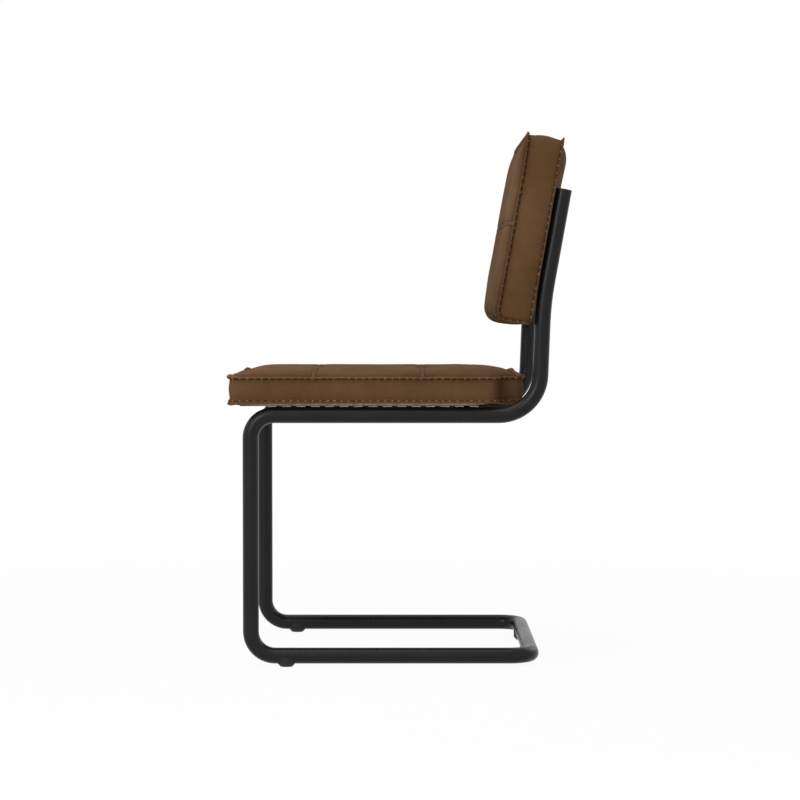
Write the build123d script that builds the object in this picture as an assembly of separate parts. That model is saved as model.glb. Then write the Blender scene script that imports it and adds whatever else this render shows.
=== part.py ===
from build123d import *
import os
from math import cos, radians, sin, sqrt, tan

# A cantilever dining chair: a bent steel tube frame, a leather seat pad and a leather back pad.
# Sizes are millimetres. X runs across the chair, plus X being the sitter's left, Y from front to rear, Z up.
# The drawing counts Y from the front legs and Z from the floor. The finished chair is centred on its depth.

# Frame tube
TUBE_DIAMETER = 25.4
TUBE_WALL = 2.0
FRAME_WIDTH = 450.0           # over the outsides of the two side tubes
RUNNER_GAP = 4.3              # floor to the underside of the runners
RAIL_HEIGHT = 401.2           # floor to the centre line of the seat rails
FLOOR_BAR_SETBACK = 448.8     # front legs to the rear floor bar
UPRIGHT_SETBACK = 459.0       # front legs to where rail and upright lines cross
LOWER_LEAN = 2.2              # degrees, upright below its bend
UPPER_LEAN = 10.2             # degrees, upright above its bend and the back pad
UPRIGHT_BEND_HEIGHT = 580.0
UPRIGHT_TOP_HEIGHT = 757.1    # centre of the tube's top end
LEG_FOOT_RADIUS = 39.0        # all bend radii are on the centre line
LEG_TOP_RADIUS = 36.5
RAIL_REAR_RADIUS = 66.0
UPRIGHT_RADIUS = 470.0
FLOOR_BAR_RADIUS = 37.0
FLOOR_BAR_RETURN = 20.0       # straight stretch of the floor bar ahead of its corner bend

# Straps across the rails, tabs on the uprights
STRAP_WIDTH = 30.0
STRAP_THICKNESS = 4.0
STRAP_LAP = 5.0               # strap end to the rail's centre line
FRONT_STRAP_SETBACK = 92.0    # front legs to the front strap
REAR_STRAP_INSET = 96.0       # rear of the seat pad to the rear strap
TAB_LENGTH = 48.0             # inwards from the upright's centre line
TAB_HEIGHT = 30.0
TAB_THICKNESS = 4.0
TAB_COPE = 1.0                # how far the tube is let into the tab
LOWER_TAB_RISE = 92.0         # back pad's lower edge to the tabs, along the pad
UPPER_TAB_RISE = 188.0

# Caps and glides
CAP_LENGTH = 18.0
CAP_HEAD = 3.0
CAP_EDGE = 1.2
CAP_PLAY = 0.1
GLIDE_DIAMETER = 29.0
GLIDE_TREAD = 20.0            # diameter that meets the floor
GLIDE_TAPER = 5.0             # height of the tapered foot
GLIDE_RIM_DROP = 0.5          # glide rim below the tube's centre line
FRONT_GLIDE_SETBACK = 56.6    # front legs to the front glides
REAR_GLIDE_SPACING = 212.0    # between the two glides on the floor bar
GLIDE_SCREW = 4.0
GLIDE_SCREW_HEAD = 7.6
GLIDE_SCREW_HEAD_HEIGHT = 1.9
GLIDE_SCREW_SINK = 0.8        # head below the tread
GLIDE_SCREW_LENGTH = 12.0

# Leather, lips and seams
LEATHER = 1.5
LIP_WIDTH = 5.5               # sewn flange beyond the pad's side
LIP_THICKNESS = 2.2
SEAM_SLIT = 1.6               # groove between two patches
COLUMN_WIDTH = 150.0          # middle column of patches
CORNER_RADIUS = 11.0
CORNER_KEPT = 0.25            # share of a corner's radius that is left however far the outline draws in
NOTCH_FILL = 0.95             # most of the notch's depth that its radius may take up
ARC_STEPS = 4                 # facets in each rounded shoulder

# Seat pad
SEAT_OVERHANG = 33.0          # front legs to the front of the seat pad
SEAT_DEPTH = 467.0
SEAT_FRONT_PATCH = 139.0      # depth of the front row of patches
SEAT_MIDDLE_PATCH = 169.0
SEAT_BAND = 34.2              # height of the side band between its two seams
SEAT_CROWN = 14.5
SEAT_SHOULDER = 70.0          # run over which the crown rises
SEAT_BELLY = 9.3              # bottom panel below the lower seam
SEAT_BELLY_SHOULDER = 14.0
SHOULDER_GAP = 3.5            # end of the full width to the start of the rail's rear bend
NOTCH_RADIUS = 22.0
TONGUE_GAP = 9.6              # rear tongue to the side tubes
TONGUE_LENGTH = 42.0          # least run of the tongue behind the full width
BOARD_MARGIN = 0.5            # board edge to the rounded edge of the bottom panel
SEAT_BOARD = 12.0
DUST_COVER = 1.0
SPACER = 1.6
SPACER_DIAMETER = 24.0
SEAT_BOLT_SPACING = 300.0

# Back pad
BACK_BOTTOM_HEIGHT = 549.5    # lower edge of the rear seam
BACK_HEIGHT = 291.5
BACK_LOWER_PATCH = 145.0
BACK_BAND = 53.0              # between the front and rear seams
BACK_CROWN = 12.5
BACK_SHOULDER = 62.0
BACK_REAR_CROWN = 18.5
BACK_REAR_SHOULDER = 60.0
BACK_REAR_EDGE = 4.0          # upper and lower seams to the swell of the rear face
BACK_BOARD = 10.0
BACK_BOARD_INSET = 14.0
BACK_BOLT_INSET = 34.0        # upright's centre line to the bolt in its tab

# Fasteners
BOLT = 6.0
BOLT_CLEARANCE = 0.6
BOLT_HEAD = 11.0
BOLT_HEAD_HEIGHT = 3.5
BOLT_SOCKET = 4.0
BOLT_SOCKET_DEPTH = 2.0
THREAD_PLAY = 0.2
WASHER_DIAMETER = 16.0
WASHER = 1.6
TEE_FLANGE = 19.0
TEE_FLANGE_THICKNESS = 1.5
TEE_BARREL = 8.0
STAPLE_WIRE = 1.2
STAPLE_CROWN = 14.0
STAPLE_LEG = 8.0
STAPLE_PITCH = 23.0
STAPLE_INSET = 4.0            # from the dust cover's edge
STAPLE_END = 28.0             # corner to the first staple of the front and rear rows
STAPLE_FRONT_END = 45.0       # front corner to the first staple of a side row
STAPLE_REAR_END = 14.0        # last staple of a side row to the rear corner

# Places worked out from the sizes above
RADIUS = TUBE_DIAMETER / 2
BORE = TUBE_DIAMETER - 2 * TUBE_WALL
SIDE_X = FRAME_WIDTH / 2 - RADIUS
RUNNER_Z = RUNNER_GAP + RADIUS
RAIL_TOP = RAIL_HEIGHT + RADIUS
FLOOR_BAR_WELD = FLOOR_BAR_SETBACK - FLOOR_BAR_RADIUS - FLOOR_BAR_RETURN
REAR_BEND_TURN = radians(90.0 - LOWER_LEAN)
REAR_BEND_START = UPRIGHT_SETBACK - RAIL_REAR_RADIUS * tan(REAR_BEND_TURN / 2)
BEND_Y = UPRIGHT_SETBACK + (UPRIGHT_BEND_HEIGHT - RAIL_HEIGHT) * tan(radians(LOWER_LEAN))
TOP_Y = BEND_Y + (UPRIGHT_TOP_HEIGHT - UPRIGHT_BEND_HEIGHT) * tan(radians(UPPER_LEAN))
LEAN_SIN = sin(radians(UPPER_LEAN))
LEAN_COS = cos(radians(UPPER_LEAN))
WIDE = 4 * FRAME_WIDTH        # longer than the chair, for cutting tools

SEAT_HALF = FRAME_WIDTH / 2
SEAT_FRONT = -SEAT_OVERHANG
SEAT_REAR = SEAT_FRONT + SEAT_DEPTH
REAR_STRAP_SETBACK = SEAT_REAR - REAR_STRAP_INSET
SEAT_SHOULDER_END = min(REAR_BEND_START - SHOULDER_GAP, SEAT_REAR - TONGUE_LENGTH)
TONGUE_HALF = SIDE_X - RADIUS - TONGUE_GAP
DUST_COVER_Z = RAIL_TOP + SPACER
SEAT_BOTTOM = DUST_COVER_Z + DUST_COVER
SEAT_LOW_SEAM = SEAT_BOTTOM + SEAT_BELLY
SEAT_TOP_SEAM = SEAT_LOW_SEAM + SEAT_BAND
SEAT_BOARD_Z = SEAT_BOTTOM + LEATHER
BOARD_INSET = SEAT_BELLY_SHOULDER + LEATHER + BOARD_MARGIN
SEAT_BOLTS = [(x, y) for x in (-SEAT_BOLT_SPACING / 2, SEAT_BOLT_SPACING / 2)
              for y in (FRONT_STRAP_SETBACK, REAR_STRAP_SETBACK)]

# The back pad is drawn lying on its rear face: Y up along the pad, Z towards the sitter.
BACK_OFFSET = RADIUS + TAB_THICKNESS - TAB_COPE
BACK_DROP = (UPRIGHT_BEND_HEIGHT + BACK_OFFSET * LEAN_SIN - BACK_BOTTOM_HEIGHT) / LEAN_COS
BACK_PLANE = Plane(
    origin=(0, BEND_Y - BACK_OFFSET * LEAN_COS - BACK_DROP * LEAN_SIN, BACK_BOTTOM_HEIGHT),
    x_dir=(1, 0, 0), z_dir=(0, -LEAN_COS, LEAN_SIN))
BACK_HALF = FRAME_WIDTH / 2
BACK_BOLT_X = SIDE_X - BACK_BOLT_INSET
BACK_SWELL_HALF = SIDE_X - TAB_LENGTH
BACK_BOLTS = [(x, y) for x in (-BACK_BOLT_X, BACK_BOLT_X) for y in (LOWER_TAB_RISE, UPPER_TAB_RISE)]
BACK_TUBE_Z = -BACK_OFFSET    # centre line of the upper uprights, seen from the pad's rear seam

pieces = {}


def disc(diameter, height, x=0.0, y=0.0, z=0.0):
    """An upright cylinder standing at a point."""
    return Pos(x, y, z) * Cylinder(diameter / 2, height, align=(Align.CENTER, Align.CENTER, Align.MIN))


def slab(low, high):
    """A wide horizontal layer between two heights."""
    return Pos(0, 0, low) * Box(WIDE, WIDE, high - low, align=(Align.CENTER, Align.CENTER, Align.MIN))


def tube_along(path):
    """The frame's hollow tube, swept along a path of straight runs and bends."""
    section = Plane(origin=path @ 0, z_dir=path % 0) * (Circle(RADIUS) - Circle(BORE / 2))
    return sweep(section, path=path)


def group(shapes):
    """Like pieces that share a name, kept as separate solids."""
    return Compound([solid for shape in shapes for solid in shape.solids()])


def round_bar(start, end):
    """The tube's full outside between two points, to let a neighbour fit against it."""
    direction = Vector(*end) - Vector(*start)
    return extrude(Plane(origin=start, z_dir=direction) * Circle(RADIUS), direction.length)


# Side tubes: runner, front leg, seat rail and upright, bent from one length of tube each

def side_path(x):
    corners = [(x, FLOOR_BAR_WELD, RUNNER_Z), (x, 0, RUNNER_Z),
               (x, 0, RAIL_HEIGHT), (x, UPRIGHT_SETBACK, RAIL_HEIGHT),
               (x, BEND_Y, UPRIGHT_BEND_HEIGHT), (x, TOP_Y, UPRIGHT_TOP_HEIGHT)]
    radii = [LEG_FOOT_RADIUS, LEG_TOP_RADIUS, RAIL_REAR_RADIUS, UPRIGHT_RADIUS]
    return FilletPolyline(*corners, radius=radii)


for side, x in (("left", SIDE_X), ("right", -SIDE_X)):
    screw_hole = disc(GLIDE_SCREW, RADIUS, x, FRONT_GLIDE_SETBACK)
    pieces[f"side_tube_{side}"] = tube_along(side_path(x)) - screw_hole

# Rear floor bar: a wide U whose ends are butt-welded to the runners

bar_corners = [(SIDE_X, FLOOR_BAR_WELD, RUNNER_Z), (SIDE_X, FLOOR_BAR_SETBACK, RUNNER_Z),
               (-SIDE_X, FLOOR_BAR_SETBACK, RUNNER_Z), (-SIDE_X, FLOOR_BAR_WELD, RUNNER_Z)]
floor_bar = tube_along(FilletPolyline(*bar_corners, radius=FLOOR_BAR_RADIUS))
for x in (-REAR_GLIDE_SPACING / 2, REAR_GLIDE_SPACING / 2):
    floor_bar -= disc(GLIDE_SCREW, RADIUS, x, FLOOR_BAR_SETBACK)
pieces["rear_floor_bar"] = floor_bar

# Seat straps: flat bars coped onto the rails, drilled for the seat bolts

rails = [round_bar((x, 0, RAIL_HEIGHT), (x, UPRIGHT_SETBACK, RAIL_HEIGHT)) for x in (-SIDE_X, SIDE_X)]
STRAP_BOTTOM = RAIL_TOP - STRAP_THICKNESS
for name, y in (("front", FRONT_STRAP_SETBACK), ("rear", REAR_STRAP_SETBACK)):
    strap = Pos(0, y, STRAP_BOTTOM) * Box(2 * (SIDE_X - STRAP_LAP), STRAP_WIDTH, STRAP_THICKNESS,
                                          align=(Align.CENTER, Align.CENTER, Align.MIN))
    strap -= rails
    for bolt_x in (-SEAT_BOLT_SPACING / 2, SEAT_BOLT_SPACING / 2):
        strap -= disc(BOLT + BOLT_CLEARANCE, STRAP_THICKNESS, bolt_x, y, STRAP_BOTTOM)
    pieces[f"seat_strap_{name}"] = strap

# Back tabs: short flat bars coped onto the uprights, each drilled for one back bolt

for side, sign in (("left", 1), ("right", -1)):
    upright = round_bar((sign * SIDE_X, 0, BACK_TUBE_Z), (sign * SIDE_X, BACK_HEIGHT, BACK_TUBE_Z))
    for level, rise in (("lower", LOWER_TAB_RISE), ("upper", UPPER_TAB_RISE)):
        middle = sign * (SIDE_X - TAB_LENGTH / 2)
        tab = Pos(middle, rise, -TAB_THICKNESS) * Box(TAB_LENGTH, TAB_HEIGHT, TAB_THICKNESS,
                                                      align=(Align.CENTER, Align.CENTER, Align.MIN))
        tab -= upright
        tab -= disc(BOLT + BOLT_CLEARANCE, TAB_THICKNESS, sign * BACK_BOLT_X, rise, -TAB_THICKNESS)
        pieces[f"back_tab_{level}_{side}"] = BACK_PLANE.location * tab

# End caps: plastic plugs pressed into the upright tops

for side, x in (("left", SIDE_X), ("right", -SIDE_X)):
    head = extrude(Circle(RADIUS), CAP_HEAD)
    head = fillet(head.edges().group_by(Axis.Z)[-1], CAP_EDGE)
    plug = Pos(0, 0, -CAP_LENGTH) * extrude(Circle(BORE / 2 - CAP_PLAY), CAP_LENGTH)
    tube_end = Plane(origin=(x, TOP_Y, UPRIGHT_TOP_HEIGHT), z_dir=(0, LEAN_SIN, LEAN_COS))
    pieces[f"upright_cap_{side}"] = tube_end.location * (head + plug)

# Glides: plastic saddles that clasp the underside of the tube, each held by a countersunk screw

SCREW_HEAD_TOP = GLIDE_SCREW_SINK + GLIDE_SCREW_HEAD_HEIGHT


def glide_screw(x, y):
    head = Pos(x, y, GLIDE_SCREW_SINK + GLIDE_SCREW_HEAD_HEIGHT / 2) * Cone(
        GLIDE_SCREW_HEAD / 2, GLIDE_SCREW / 2, GLIDE_SCREW_HEAD_HEIGHT)
    return head + disc(GLIDE_SCREW, GLIDE_SCREW_LENGTH - GLIDE_SCREW_HEAD_HEIGHT, x, y, SCREW_HEAD_TOP)


def glide(x, y, tube):
    foot = Pos(x, y, GLIDE_TAPER / 2) * Cone(GLIDE_TREAD / 2, GLIDE_DIAMETER / 2, GLIDE_TAPER)
    cup = disc(GLIDE_DIAMETER, RUNNER_Z - GLIDE_RIM_DROP - GLIDE_TAPER, x, y, GLIDE_TAPER)
    sink = disc(GLIDE_SCREW_HEAD, GLIDE_SCREW_SINK, x, y)
    return foot + cup - tube - glide_screw(x, y) - sink


screws = []
for side, sign in (("left", 1), ("right", -1)):
    front_x = sign * SIDE_X
    runner = round_bar((front_x, 0, RUNNER_Z), (front_x, FLOOR_BAR_WELD, RUNNER_Z))
    pieces[f"front_glide_{side}"] = glide(front_x, FRONT_GLIDE_SETBACK, runner)
    screws.append(glide_screw(front_x, FRONT_GLIDE_SETBACK))
    rear_x = sign * REAR_GLIDE_SPACING / 2
    bar = round_bar((-SIDE_X, FLOOR_BAR_SETBACK, RUNNER_Z), (SIDE_X, FLOOR_BAR_SETBACK, RUNNER_Z))
    pieces[f"rear_glide_{side}"] = glide(rear_x, FLOOR_BAR_SETBACK, bar)
    screws.append(glide_screw(rear_x, FLOOR_BAR_SETBACK))
pieces["glide_screws"] = group(screws)

# Pads: each is a stack of outlines that draw in towards a level crown, skinned with leather


def arc_steps(run, rise):
    """Points up an arc that leaves a seam and levels out: how far in from the seam, and how far up."""
    radius = (run ** 2 + rise ** 2) / (2 * rise)
    insets = [run * index / ARC_STEPS for index in range(ARC_STEPS + 1)]
    return [(inset, rise - radius + sqrt(radius ** 2 - (run - inset) ** 2)) for inset in insets]


def corner(radius, grow):
    """A corner radius that follows the outline outwards or inwards and never runs out."""
    return max(radius + grow, CORNER_KEPT * radius)


def seat_outline(grow):
    """The seat's plan: full width over the rails, then a tongue between the rising tubes."""
    half, tongue = SEAT_HALF + grow, TONGUE_HALF + grow
    front, shoulder, rear = SEAT_FRONT - grow, SEAT_SHOULDER_END + grow, SEAT_REAR + grow
    corners = [(-half, front), (half, front), (half, shoulder), (tongue, shoulder),
               (tongue, rear), (-tongue, rear), (-tongue, shoulder), (-half, shoulder)]
    convex = corner(CORNER_RADIUS, grow)
    notch_room = min(half - tongue, rear - shoulder) - convex
    notch = min(corner(NOTCH_RADIUS, -grow), NOTCH_FILL * notch_room)
    radii = [convex, convex, convex, notch, convex, convex, notch, convex]
    return make_face(FilletPolyline(*corners, radius=radii, close=True))


def back_outline(grow):
    """The back's plan: an upright rectangle with small corners."""
    radius = corner(CORNER_RADIUS, grow)
    return Pos(0, BACK_HEIGHT / 2) * RectangleRounded(2 * (BACK_HALF + grow), BACK_HEIGHT + 2 * grow, radius)


def back_rear_outline(grow):
    """The part of the back's rear face that swells between the tabs."""
    radius = corner(CORNER_RADIUS, grow)
    height = BACK_HEIGHT - 2 * BACK_REAR_EDGE
    return Pos(0, BACK_HEIGHT / 2) * RectangleRounded(2 * (BACK_SWELL_HALF + grow), height + 2 * grow, radius)


def seat_body(grow):
    """The seat pad, or its filling when drawn in by the leather's thickness."""
    belly = arc_steps(SEAT_BELLY_SHOULDER, SEAT_BELLY + grow)
    crown = arc_steps(SEAT_SHOULDER, SEAT_CROWN + grow)
    layers = [Pos(0, 0, SEAT_LOW_SEAM - drop) * seat_outline(grow - inset) for inset, drop in reversed(belly)]
    layers += [Pos(0, 0, SEAT_TOP_SEAM + rise) * seat_outline(grow - inset) for inset, rise in crown]
    return loft(layers, ruled=True)


def back_body(grow):
    """The back pad, or its filling when drawn in by the leather's thickness."""
    crown = arc_steps(BACK_SHOULDER, BACK_CROWN + grow)
    swell = arc_steps(BACK_REAR_SHOULDER, BACK_REAR_CROWN)
    layers = [Pos(0, 0, -grow) * back_outline(grow)]
    layers += [Pos(0, 0, BACK_BAND + rise) * back_outline(grow - inset) for inset, rise in crown]
    rear = [Pos(0, 0, -grow - rise) * back_rear_outline(grow - inset) for inset, rise in swell]
    return loft(layers, ruled=True) + loft(rear, ruled=True)


def side_band(skin, outline, low, high):
    """The strip of leather round a pad, with the sewn flange of each seam standing out from it."""
    band = skin & slab(low - LIP_THICKNESS / 2, high + LIP_THICKNESS / 2)
    flange = outline(LIP_WIDTH) - outline(-LEATHER)
    for seam in (low, high):
        band += Pos(0, 0, seam - LIP_THICKNESS / 2) * extrude(flange, LIP_THICKNESS)
    return band


def patches(panel, columns, rows):
    """A panel parted along its seams into patches, in rows from front or below, each from right to left."""
    for x in columns:
        panel -= Pos(x, 0, 0) * Box(SEAM_SLIT, WIDE, WIDE)
    for y in rows:
        panel -= Pos(0, y, 0) * Box(WIDE, SEAM_SLIT, WIDE)
    centres = sorted(panel.solids(), key=lambda solid: solid.center().Y)
    per_row = len(columns) + 1
    ordered = []
    for start in range(0, len(centres), per_row):
        ordered += sorted(centres[start:start + per_row], key=lambda solid: solid.center().X)
    return ordered


COLUMN_SEAMS = (-COLUMN_WIDTH / 2, COLUMN_WIDTH / 2)
COLUMN_NAMES = ("right", "centre", "left")

# Fasteners, drawn upright: heads below, threads above


def bolt(length):
    head = Pos(0, 0, -BOLT_HEAD_HEIGHT) * extrude(Circle(BOLT_HEAD / 2), BOLT_HEAD_HEIGHT)
    head = fillet(head.edges().group_by(Axis.Z)[0], BOLT_HEAD_HEIGHT / 2)
    socket = Pos(0, 0, -BOLT_HEAD_HEIGHT) * extrude(RegularPolygon(BOLT_SOCKET / 2, 6, major_radius=False),
                                                    BOLT_SOCKET_DEPTH)
    return head - socket + extrude(Circle(BOLT / 2), length)


def washer():
    return extrude(Circle(WASHER_DIAMETER / 2) - Circle((BOLT + BOLT_CLEARANCE) / 2), WASHER)


def tee_nut(board):
    """A flanged nut let into the far face of a board of the given thickness."""
    barrel = disc(TEE_BARREL, board - TEE_FLANGE_THICKNESS)
    flange = disc(TEE_FLANGE, TEE_FLANGE_THICKNESS, z=board - TEE_FLANGE_THICKNESS)
    return barrel + flange - disc(BOLT + THREAD_PLAY, board)


def tee_nut_seat(board):
    return disc(TEE_BARREL, board) + disc(TEE_FLANGE, TEE_FLANGE_THICKNESS, z=board - TEE_FLANGE_THICKNESS)


def bolt_holes(centres, low, high):
    return [disc(BOLT + BOLT_CLEARANCE, high - low, x, y, low) for x, y in centres]


# Seat pad

seat_inside = seat_body(-LEATHER)
seat_skin = seat_body(0) - seat_inside
seat_top = seat_skin & slab(SEAT_TOP_SEAM + LIP_THICKNESS / 2, SEAT_TOP_SEAM + WIDE)
row_seams = (SEAT_FRONT + SEAT_FRONT_PATCH, SEAT_FRONT + SEAT_FRONT_PATCH + SEAT_MIDDLE_PATCH)
seat_names = [f"seat_patch_{row}_{column}" for row in ("front", "middle", "rear") for column in COLUMN_NAMES]
for name, patch in zip(seat_names, patches(seat_top, COLUMN_SEAMS, row_seams)):
    pieces[name] = patch
pieces["seat_side_band"] = side_band(seat_skin, seat_outline, SEAT_LOW_SEAM, SEAT_TOP_SEAM)

# Staples: bent wire round the edge of the dust cover, through the leather and into the board

STAPLE_TOP = DUST_COVER_Z - STAPLE_WIRE


def staple(x, y, turn):
    crown = Box(STAPLE_WIRE, STAPLE_CROWN, STAPLE_WIRE, align=(Align.CENTER, Align.CENTER, Align.MIN))
    reach = (STAPLE_CROWN - STAPLE_WIRE) / 2
    legs = [Pos(0, place, STAPLE_WIRE) * Box(STAPLE_WIRE, STAPLE_WIRE, STAPLE_LEG,
                                             align=(Align.CENTER, Align.CENTER, Align.MIN))
            for place in (-reach, reach)]
    return Pos(x, y, STAPLE_TOP) * Rot(0, 0, turn) * (crown + legs)


def staple_places(start, end):
    """Places at an even pitch between the two ends of an edge, centred on it."""
    count = int((end - start) // STAPLE_PITCH) + 1
    first = (start + end - (count - 1) * STAPLE_PITCH) / 2
    return [first + index * STAPLE_PITCH for index in range(count)]


edge = BOARD_INSET + STAPLE_INSET
staples = []
for y in staple_places(SEAT_FRONT + edge + STAPLE_FRONT_END, SEAT_SHOULDER_END - edge - STAPLE_REAR_END):
    staples += [staple(x, y, 0) for x in (edge - SEAT_HALF, SEAT_HALF - edge)]
staples += [staple(x, SEAT_FRONT + edge, 90)
            for x in staple_places(edge + STAPLE_END - SEAT_HALF, SEAT_HALF - edge - STAPLE_END)]
staples += [staple(x, SEAT_REAR - edge, 90)
            for x in staple_places(edge + STAPLE_END - TONGUE_HALF, TONGUE_HALF - edge - STAPLE_END)]
pieces["seat_staples"] = group(staples)

# Seat layers below the foam: bottom panel, board and dust cover, all pierced by bolts and staples

seat_drill = bolt_holes(SEAT_BOLTS, DUST_COVER_Z, SEAT_BOARD_Z)
bottom_panel = seat_skin & slab(SEAT_BOTTOM - WIDE, SEAT_LOW_SEAM - LIP_THICKNESS / 2)
pieces["seat_bottom_panel"] = bottom_panel - seat_drill - staples
board_blank = Pos(0, 0, SEAT_BOARD_Z) * extrude(seat_outline(-BOARD_INSET), SEAT_BOARD)
board_seats = [Pos(x, y, SEAT_BOARD_Z) * tee_nut_seat(SEAT_BOARD) for x, y in SEAT_BOLTS]
pieces["seat_board"] = board_blank - board_seats - staples
cover_blank = Pos(0, 0, DUST_COVER_Z) * extrude(seat_outline(-BOARD_INSET), DUST_COVER)
pieces["seat_dust_cover"] = cover_blank - seat_drill - staples
pieces["seat_foam"] = seat_inside - board_blank

# Seat fixings: bolts from below, through the straps and spacers, into tee nuts in the board

seat_bolt_start = STRAP_BOTTOM - WASHER
seat_bolt_length = SEAT_BOARD_Z + SEAT_BOARD - TEE_FLANGE_THICKNESS - seat_bolt_start
pieces["seat_tee_nuts"] = group([Pos(x, y, SEAT_BOARD_Z) * tee_nut(SEAT_BOARD) for x, y in SEAT_BOLTS])
pieces["seat_bolts"] = group([Pos(x, y, seat_bolt_start) * bolt(seat_bolt_length) for x, y in SEAT_BOLTS])
pieces["seat_washers"] = group([Pos(x, y, seat_bolt_start) * washer() for x, y in SEAT_BOLTS])
spacer = extrude(Circle(SPACER_DIAMETER / 2) - Circle((BOLT + BOLT_CLEARANCE) / 2), SPACER)
pieces["seat_spacers"] = group([Pos(x, y, RAIL_TOP) * spacer for x, y in SEAT_BOLTS])

# Back pad, drawn lying down and then stood against the tabs

back = {}
back_inside = back_body(-LEATHER)
back_skin = back_body(0) - back_inside
back_drill = bolt_holes(BACK_BOLTS, -LEATHER, 2 * LEATHER)
back_front = back_skin & slab(BACK_BAND + LIP_THICKNESS / 2, BACK_BAND + WIDE)
rear_space = Pos(0, 0, LEATHER) * extrude(back_outline(-LEATHER), -WIDE)
back_rear = (back_skin & rear_space) - back_drill
for face_name, panel in (("front", back_front), ("rear", back_rear)):
    names = [f"back_{face_name}_patch_{row}_{column}"
             for row in ("lower", "upper") for column in COLUMN_NAMES]
    for name, patch in zip(names, patches(panel, COLUMN_SEAMS, (BACK_LOWER_PATCH,))):
        back[name] = patch
back["back_side_band"] = side_band(back_skin - rear_space, back_outline, 0, BACK_BAND)

board_outline = back_outline(-BACK_BOARD_INSET)
back_board_blank = Pos(0, 0, LEATHER) * extrude(board_outline, BACK_BOARD)
back_board_seats = [Pos(x, y, LEATHER) * tee_nut_seat(BACK_BOARD) for x, y in BACK_BOLTS]
back["back_board"] = back_board_blank - back_board_seats
back["back_foam"] = (back_inside & slab(LEATHER, WIDE)) - back_board_blank
back["back_wadding"] = back_inside & slab(-WIDE, LEATHER)

back_bolt_start = -TAB_THICKNESS - WASHER
back_bolt_length = LEATHER + BACK_BOARD - TEE_FLANGE_THICKNESS - back_bolt_start
back["back_tee_nuts"] = group([Pos(x, y, LEATHER) * tee_nut(BACK_BOARD) for x, y in BACK_BOLTS])
back["back_bolts"] = group([Pos(x, y, back_bolt_start) * bolt(back_bolt_length) for x, y in BACK_BOLTS])
back["back_washers"] = group([Pos(x, y, back_bolt_start) * washer() for x, y in BACK_BOLTS])
for name, shape in back.items():
    pieces[name] = BACK_PLANE.location * shape

# The finished chair stands on the floor with the middle of its depth at the origin

box = group(pieces.values()).bounding_box()
centring = Pos(0, -(box.min.Y + box.max.Y) / 2, 0)
os.makedirs("parts", exist_ok=True)
for name, shape in pieces.items():
    export_step(centring * shape, f"parts/{name}.step")
print("depth shift", round(-(box.min.Y + box.max.Y) / 2, 3), "size", box.size)
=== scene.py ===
import math

import bmesh
import bpy
import numpy as np
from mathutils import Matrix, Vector, kdtree, noise


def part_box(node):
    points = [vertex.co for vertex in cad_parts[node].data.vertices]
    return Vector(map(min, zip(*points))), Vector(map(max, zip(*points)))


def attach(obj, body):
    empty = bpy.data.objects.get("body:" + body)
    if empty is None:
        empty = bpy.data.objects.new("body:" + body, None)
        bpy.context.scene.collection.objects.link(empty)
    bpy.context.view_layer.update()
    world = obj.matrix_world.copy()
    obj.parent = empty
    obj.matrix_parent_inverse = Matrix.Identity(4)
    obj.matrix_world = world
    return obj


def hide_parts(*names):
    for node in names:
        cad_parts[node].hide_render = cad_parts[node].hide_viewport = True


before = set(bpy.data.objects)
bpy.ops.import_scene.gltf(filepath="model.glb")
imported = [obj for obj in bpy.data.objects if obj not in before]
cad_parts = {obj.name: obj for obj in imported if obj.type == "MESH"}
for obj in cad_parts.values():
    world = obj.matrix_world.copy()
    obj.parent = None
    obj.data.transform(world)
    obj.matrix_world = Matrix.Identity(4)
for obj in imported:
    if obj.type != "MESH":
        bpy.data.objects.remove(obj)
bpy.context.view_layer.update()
scene = bpy.context.scene

# Steel frame
# Two bent side tubes, a rear floor bar, flat seat straps and small back tabs, welded of mild steel.
# The whole frame is powder coated satin black, which leaves a faint orange peel on the tube.


def srgb(red, green, blue):
    """A colour as it shows on a screen, from 0 to 255, turned into the light it stands for."""
    light = []
    for part in (red, green, blue):
        share = part / 255
        light.append(share / 12.92 if share <= 0.04045 else ((share + 0.055) / 1.055) ** 2.4)
    return (*light, 1.0)


def finish_of(name, roughness, specular=0.5, metallic=0.0):
    """A new surface finish and its shader."""
    made = bpy.data.materials.new(name)
    made.use_nodes = True
    shader = made.node_tree.nodes["Principled BSDF"]
    shader.inputs["Roughness"].default_value = roughness
    shader.inputs["Specular IOR Level"].default_value = specular
    shader.inputs["Metallic"].default_value = metallic
    return made, shader


def texture(finish, kind, scale, stretch=(1, 1, 1), **settings):
    """A texture laid through the piece in metres, so that its grain has a real size."""
    tree = finish.node_tree
    place = tree.nodes.new("ShaderNodeTexCoord")
    turn = tree.nodes.new("ShaderNodeMapping")
    turn.inputs["Scale"].default_value = stretch
    made = tree.nodes.new(kind)
    made.inputs["Scale"].default_value = scale
    for socket, value in settings.items():
        made.inputs[socket].default_value = value
    tree.links.new(place.outputs["Object"], turn.inputs["Vector"])
    tree.links.new(turn.outputs["Vector"], made.inputs["Vector"])
    return made.outputs[0]


def colour_by(finish, shader, share, *stops):
    """Colours a finish along a texture, from pairs of place and colour."""
    ramp = finish.node_tree.nodes.new("ShaderNodeValToRGB")
    ramp.color_ramp.elements.remove(ramp.color_ramp.elements[1])
    for index, (place, colour) in enumerate(stops):
        stop = ramp.color_ramp.elements[0] if index == 0 else ramp.color_ramp.elements.new(place)
        stop.position = place
        stop.color = colour
    finish.node_tree.links.new(share, ramp.inputs["Fac"])
    finish.node_tree.links.new(ramp.outputs["Color"], shader.inputs["Base Color"])


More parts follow.
